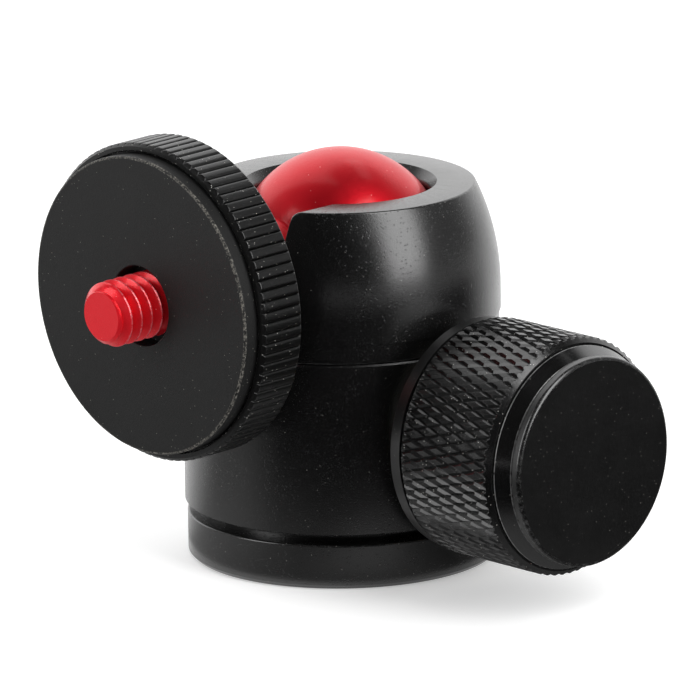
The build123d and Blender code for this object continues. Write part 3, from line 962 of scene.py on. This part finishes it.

# %% [markdown]
# ## Red anodised aluminium
# The ball is polished and lightly etched before it is dyed, so the metal shines through the red
# oxide: a metallic colour with a clear skin over it, which goes white where light only grazes it.
# The screw's thread is cut and not etched: half of its red is scattered by the dye and half
# mirrored by the metal, under a heavier skin. Its red is also painted lighter than the ball's, for
# the light the thread catches. Worn edges and thread crests turn pale pink, partly wear and partly
# a painted highlight.

# %% Red anodised finish


def red_anodised(name):
    """Metal under a red dye, with a clear skin and a fine grain; beyond the shoulder a painted
    lighter red, and pale pink edges and crests that are partly a painted highlight.
    """
    f = Finish(name)
    fine = f.noise(6000, 3.0, 0.6)
    broad = f.noise(260, 2.0, 0.5)
    base_tone = f.mix(broad, (0.60, 0.008, 0.016, 1.0), (0.70, 0.014, 0.026, 1.0))
    edge = f.wear()
    edge_wear_and_highlight = f.ramp(edge * f.noise(2500, 2.0, 0.6), 0.25, 0.60)
    shoulder_place = float(axes["stem"][0] @ stem_out + shoulder) * mm
    cut = f.dot(f.place, tuple(stem_out)) > shoulder_place
    # painted light: beyond the shoulder the screw gets a lighter red than the ball, for the light
    # its thread catches
    base_tone = f.mix(cut, base_tone, (0.78, 0.012, 0.022, 1.0))
    # pale pink on worn edges and thread crests: partly wear, partly a painted highlight
    worn_and_highlit = f.mix(edge_wear_and_highlight, base_tone, (0.85, 0.16, 0.19, 1.0))
    dust = f.scatter(3100, 0.16, 0.05)
    f.principled(
        Base_Color=f.mix(dust, worn_and_highlit, (0.85, 0.45, 0.45, 1.0)),
        Metallic=1 - cut * 0.5,
        IOR=1.2,
        Roughness=0.48 + (fine - 0.5) * 0.16 - cut * 0.14,
        Coat_Weight=0.38 + cut * 0.12 + edge * (0.4 + cut * 0.1),
        Coat_Roughness=0.17,
        Coat_IOR=1.5,
        Normal=f.bump(fine, 22e-6),
    )
    return f.material


red = red_anodised("ball_red_anodised_painted_light")
print("finish:", red.name)

# %% [markdown]
# ## Rubber
# The pad is a matt compound, dark grey rather than black, with a fine pebble from its mould. Pale
# dust sticks to it, most of all along its edge.

# %% Rubber finish


def pad_rubber(name):
    """Fine pebble bump and a pale speckled edge."""
    f = Finish(name)
    pebble = f.noise(6200, 3.0, 0.65)
    broad = f.noise(240, 3.0, 0.5)
    edge = f.wear()
    chalk = f.ramp(edge * f.noise(4200, 3.0, 0.7), 0.40, 0.72)
    base = f.mix(broad, grey(0.009), grey(0.012))
    edged = f.mix(chalk, base, (0.17, 0.16, 0.14, 1.0))
    dust = f.scatter(3300, 0.17, 0.07 + edge * 0.8)
    f.principled(
        Base_Color=f.mix(dust, edged, (0.20, 0.195, 0.17, 1.0)),
        Roughness=0.56 + (pebble - 0.5) * 0.2,
        IOR=1.37,
        Normal=f.bump(pebble, 20e-6),
    )
    return f.material


rubber = pad_rubber("dusty_rubber")
print("finish:", rubber.name)

# %% [markdown]
# ## Brass, steel and nylon
# The inner parts are turned and left bare, so their metal has a soft cloudy tone and the fine
# unevenness of a cut. The washers, the cup and the liner are moulded in a waxy white plastic.

# %% Inner finishes


def turned_metal(name, dark, light, roughness):
    """Bare metal with fine tool marks."""
    f = Finish(name)
    marks = f.noise(5200, 3.0, 0.6)
    broad = f.noise(400, 2.0, 0.5)
    f.principled(
        Base_Color=f.mix(broad, dark, light),
        Metallic=1.0,
        Roughness=roughness + (marks - 0.5) * 0.16,
        Normal=f.bump(marks, 3e-6),
    )
    return f.material


def nylon_white(name):
    """Slightly waxy white plastic with a soft mottle."""
    f = Finish(name)
    mottle = f.noise(900, 3.0, 0.6)
    f.principled(
        Base_Color=f.mix(mottle, (0.66, 0.65, 0.61, 1.0), (0.74, 0.73, 0.69, 1.0)),
        Roughness=0.42 + (mottle - 0.5) * 0.16,
        Normal=f.bump(mottle, 6e-6),
    )
    return f.material


brass = turned_metal("turned_brass", (0.56, 0.40, 0.16, 1.0), (0.66, 0.48, 0.20, 1.0), 0.32)
steel = turned_metal("turned_steel", (0.46, 0.46, 0.47, 1.0), (0.57, 0.57, 0.58, 1.0), 0.34)
finishes = {
    "black_anodised": body_black,
    "red_anodised": red,
    "pad_rubber": rubber,
    "brass": brass,
    "plain_steel": steel,
    "white_nylon": nylon_white("moulded_nylon"),
}
print("finishes:", ", ".join(finishes))

# %% [markdown]
# ## Painting
# A carried-over CAD node keeps its shape and takes the finish of its own material slot, and a new
# piece that of the slot it names. The wheel and the knob's pieces were dyed and handled otherwise.

# %% Assign finishes
for name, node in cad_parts.items():
    slot_name = node.material_slots[0].material.name
    for holder in node.material_slots:
        holder.material = finishes[slot_name]
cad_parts["knob_core"].material_slots[0].material = cap_black
own_finish = {
    "platform_wheel_ribbed": wheel_black_dust_and_glints,
    "grip_knurled": knob_black,
    "front_ring": ring_black_painted_highlight,
    "front_cap": cap_black,
}
for name, piece in pieces.items():
    piece.data.materials.append(own_finish.get(name, finishes[piece["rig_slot"]]))
print("painted", len(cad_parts), "nodes and", len(pieces), "pieces")

# %% [markdown]
# ## Floor
# The head stands on a plain white sheet. Its colour does most of the work; a little light of its
# own, only towards the eye, mirrors and glass, lifts it to white and leaves the soft shadow.

# %% Floor


def flat_mesh(name, points, faces):
    """A stage object: it isn't part of the head."""
    mesh = bpy.data.meshes.new(name)
    mesh.from_pydata(points, [], faces)
    sheet = bpy.data.objects.new(name, mesh)
    bpy.context.scene.collection.objects.link(sheet)
    return sheet


reach = 3.0
sheet_height = -0.00005  # just under the base, so that the two faces don't coincide
sheet_glow = 0.36
corners = [(-reach, -reach), (reach, -reach), (reach, reach), (-reach, reach)]
floor = flat_mesh("floor", [(x, y, sheet_height) for x, y in corners], [(0, 1, 2, 3)])

sheet = Finish("floor_sheet")
sheet.principled(Base_Color=grey(0.80), Roughness=0.9, Specular_IOR_Level=0.1)
seen = sheet.ray("Camera") + sheet.ray("Glossy") + sheet.ray("Transmission")
glow = sheet.add("ShaderNodeEmission", {}, {"Strength": seen * sheet_glow})
lit = Wire(sheet.tree, sheet.shader.outputs[0])
sheet.surface(sheet.add("ShaderNodeAddShader", {}, {0: lit, 1: glow}))
floor.data.materials.append(sheet.material)
print("floor", reach * 2, "m across")

# %% [markdown]
# ## A black card: painted shade in reflections
# A black satin skin is drawn by what it mirrors. On a white sheet its lower half would mirror
# white, so a black card lies in front of the head. Only mirror rays meet it, so it neither shows
# nor shades: it is painted shade, which darkens the floor in front of the head as the skin mirrors
# it. It fades out towards its ends, close to the base and below the knob, where the grip mirrors
# the white sheet, and far out on the left, which the screw's tip mirrors.

# %% Cover of the card
card_height = 0.0003
card_inner, card_outer = 0.0165, 0.6
under_grip = (0.023, -0.013)
left_loss = 0.2

azimuths = np.linspace(-90, 176, 92)  # degrees, 0 at the notch and 90 at the knob
card_radii = np.geomspace(card_inner, card_outer, 48)[:, None]
card_points = lathe_grid(card_radii, np.radians(azimuths), card_height)
to_sides = np.interp(
    azimuths,
    [-90, -76, -60, -48, -20, 5, 142, 176],
    [0, 0.05, 0.38, 0.76, 0.82, 1, 1, 0],
)
on_left = np.interp(azimuths, [-20, 5], [1, 0])
far_out = np.interp(card_radii, [0.060, 0.100], [0, 1])
near_base = np.interp(card_radii, [0.030, 0.055], [1, 0])
base_loss = np.interp(azimuths, [0, 25, 50, 90], [0.24, 0.18, 0.04, 0.11])
from_grip = np.hypot(card_points[:, :, 0] - under_grip[0], card_points[:, :, 1] - under_grip[1])
below_knob = np.interp(from_grip, [0.005, 0.016], [0.60, 1])
# painted shade: how much of the floor's shade each point of the card puts into reflections
mirrored_shade_cover = to_sides * (1 - near_base * base_loss) * below_knob
mirrored_shade_cover = mirrored_shade_cover * (1 - on_left * far_out * left_loss)
print("card covers", round(float(mirrored_shade_cover.mean()), 2), "of its points")

# %% Card
card_faces = grid_faces(*card_points.shape[:2]).tolist()
# the card is painted shade, seen only in reflections
card = flat_mesh("mirrored_shade_card", card_points.reshape(-1, 3), card_faces)
cover = card.data.attributes.new("cover", "FLOAT", "POINT")
cover.data.foreach_set("value", mirrored_shade_cover.astype(np.float32).ravel())
for kind in ("camera", "diffuse", "transmission", "volume_scatter", "shadow"):
    setattr(card, "visible_" + kind, False)

felt = Finish("mirrored_shade_felt")
felt.principled(Base_Color=grey(0.006), Roughness=1.0, Specular_IOR_Level=0.0)
clear = felt.add("ShaderNodeBsdfTransparent", {}, {})
covered = felt.add("ShaderNodeAttribute", {"attribute_name": "cover"}, {}, "Fac")
black = Wire(felt.tree, felt.shader.outputs[0])
felt.surface(felt.add("ShaderNodeMixShader", {}, {0: covered, 1: clear, 2: black}))
card.data.materials.append(felt.material)
print("card to", card_outer, "m")

# %% [markdown]
# ## Lamps
# A tall soft box on the knob's side gives the broad highlight down the barrel. A narrow strip high
# up behind draws the slanting edge on the ball, and a small box above the front lights the screw.

# %% Soft boxes
head_middle = np.array([0.004, -0.006, 0.022])


def direction(azimuth, elevation):
    """Unit vector: 0 degrees is the notch's side, 90 the knob's side."""
    a, e = math.radians(azimuth), math.radians(elevation)
    return np.array([math.sin(a) * math.cos(e), -math.cos(a) * math.cos(e), math.sin(e)])


def facing(right, up, back, place):
    """Matrix whose columns are an object's three directions and its place."""
    return Matrix(np.vstack([np.c_[right, up, back, place], [0, 0, 0, 1]]).tolist())


def soft_box(name, start, end, thickness, radiance, distance=1.0):
    """A panel from one direction to another, facing the head. Power = radiance * pi * area.
    Directions are azimuth and elevation, and the thickness is an angle too, all in degrees."""
    first, last = direction(*start), direction(*end)
    away = (first + last) / np.linalg.norm(first + last)
    along = (last - first) / np.linalg.norm(last - first)
    lamp = bpy.data.lights.new(name, "AREA")
    lamp.shape = "RECTANGLE"
    lamp.size = 2 * distance * math.tan(math.radians(thickness) / 2)
    lamp.size_y = 2 * distance * math.tan(math.acos(first @ last) / 2)
    lamp.energy = radiance * math.pi * lamp.size * lamp.size_y
    holder = bpy.data.objects.new(name, lamp)
    bpy.context.scene.collection.objects.link(holder)
    place = head_middle + away * distance
    holder.matrix_world = facing(np.cross(along, away), along, away, place)
    holder.visible_camera = False
    print(f"{name}: {lamp.energy:.2f} W")


soft_box("right_box", (96, 4), (96, 64), 30, 4.5)
soft_box("rear_strip", (218, 44), (175, 63), 9, 1.0)
soft_box("front_box", (337, 1), (337, 46), 24, 2.7)

# %% [markdown]
# ## The room
# A white backdrop stands behind, on the far side from the camera: the world is white towards it
# and nearly black elsewhere, with a little light spilt beside it. Its upper edge climbs towards
# the notch's side. The eye and glass see white everywhere, as on a plain sheet, and a matt surface
# gets an even fill, which a mirror ray doesn't see.

# %% World
backdrop_azimuth = math.radians(235)
dark_room, spilt, even_fill = 0.01, 0.26, 0.42
backdrop_white, brighter_above = 1.15, 0.22
top_slant, level_beyond = 0.0046, -35.0  # height for each degree, and where it ends

world = bpy.data.worlds.new("studio")
bpy.context.scene.world = world
world.use_nodes = True
room = Graph(world.node_tree)
towards = room.add("ShaderNodeTexCoord", {}, {}, "Generated")
ahead = room.dot(towards, (math.sin(backdrop_azimuth), -math.cos(backdrop_azimuth), 0))
aside = room.dot(towards, (math.cos(backdrop_azimuth), math.sin(backdrop_azimuth), 0))
swing = aside.math("ARCTAN2", aside, ahead) * math.degrees(1)
height = room.dot(towards, (0, 0, 1))
slanted_height = height - swing.math("MAXIMUM", swing, level_beyond) * top_slant
backdrop = room.ramp(swing, -82, -42) * (1 - room.ramp(swing, 46, 56))
backdrop = backdrop * (1 - room.ramp(slanted_height, 0.80, 0.96))
spill = room.ramp(swing, -150, -100) * (1 - room.ramp(swing, 110, 145))
spill = spill * (1 - room.ramp(height, 0.45, 0.8)) * spilt
white = backdrop_white + room.ramp(height, 0.34, 0.50) * brighter_above
studio = dark_room + spill + backdrop * white
open_eye = room.ray("Camera") + room.ray("Transmission")
matt = 1 - open_eye - room.ray("Glossy")
strength = open_eye + (1 - open_eye) * studio + matt * even_fill
sky = room.add("ShaderNodeBackground", {}, {"Color": grey(1.0), "Strength": strength})
room.add("ShaderNodeOutputWorld", {}, {"Surface": sky})
print("backdrop towards azimuth", round(math.degrees(backdrop_azimuth)))

# %% [markdown]
# ## Camera
# A long lens from the front right, a little above the head. The three directions of its frame are
# given, and the lens follows from the pixels to a unit of angle.

# %% Camera
picture_side = 700
focal_pixels = 9364.28
camera_place = (0.62387, -0.60141, 0.24381)
look = np.array([-0.69639, 0.6725, -0.25057])
right = np.array([0.69705, 0.71691, -0.01317])
upward = np.array([-0.17078, 0.18383, 0.96801])

lens = bpy.data.cameras.new("camera")
lens.sensor_width = 36.0
lens.lens = lens.sensor_width * focal_pixels / picture_side
lens.clip_start = 0.05
lens.clip_end = 20.0
camera = bpy.data.objects.new("camera", lens)
bpy.context.scene.collection.objects.link(camera)
camera.matrix_world = facing(right, upward, -look, camera_place)
bpy.context.scene.camera = camera
bpy.context.scene.view_settings.view_transform = "Standard"
print("lens", round(lens.lens, 1), "mm")

# %% [markdown]
# ## End of the scene

# %% End
print("scene built")
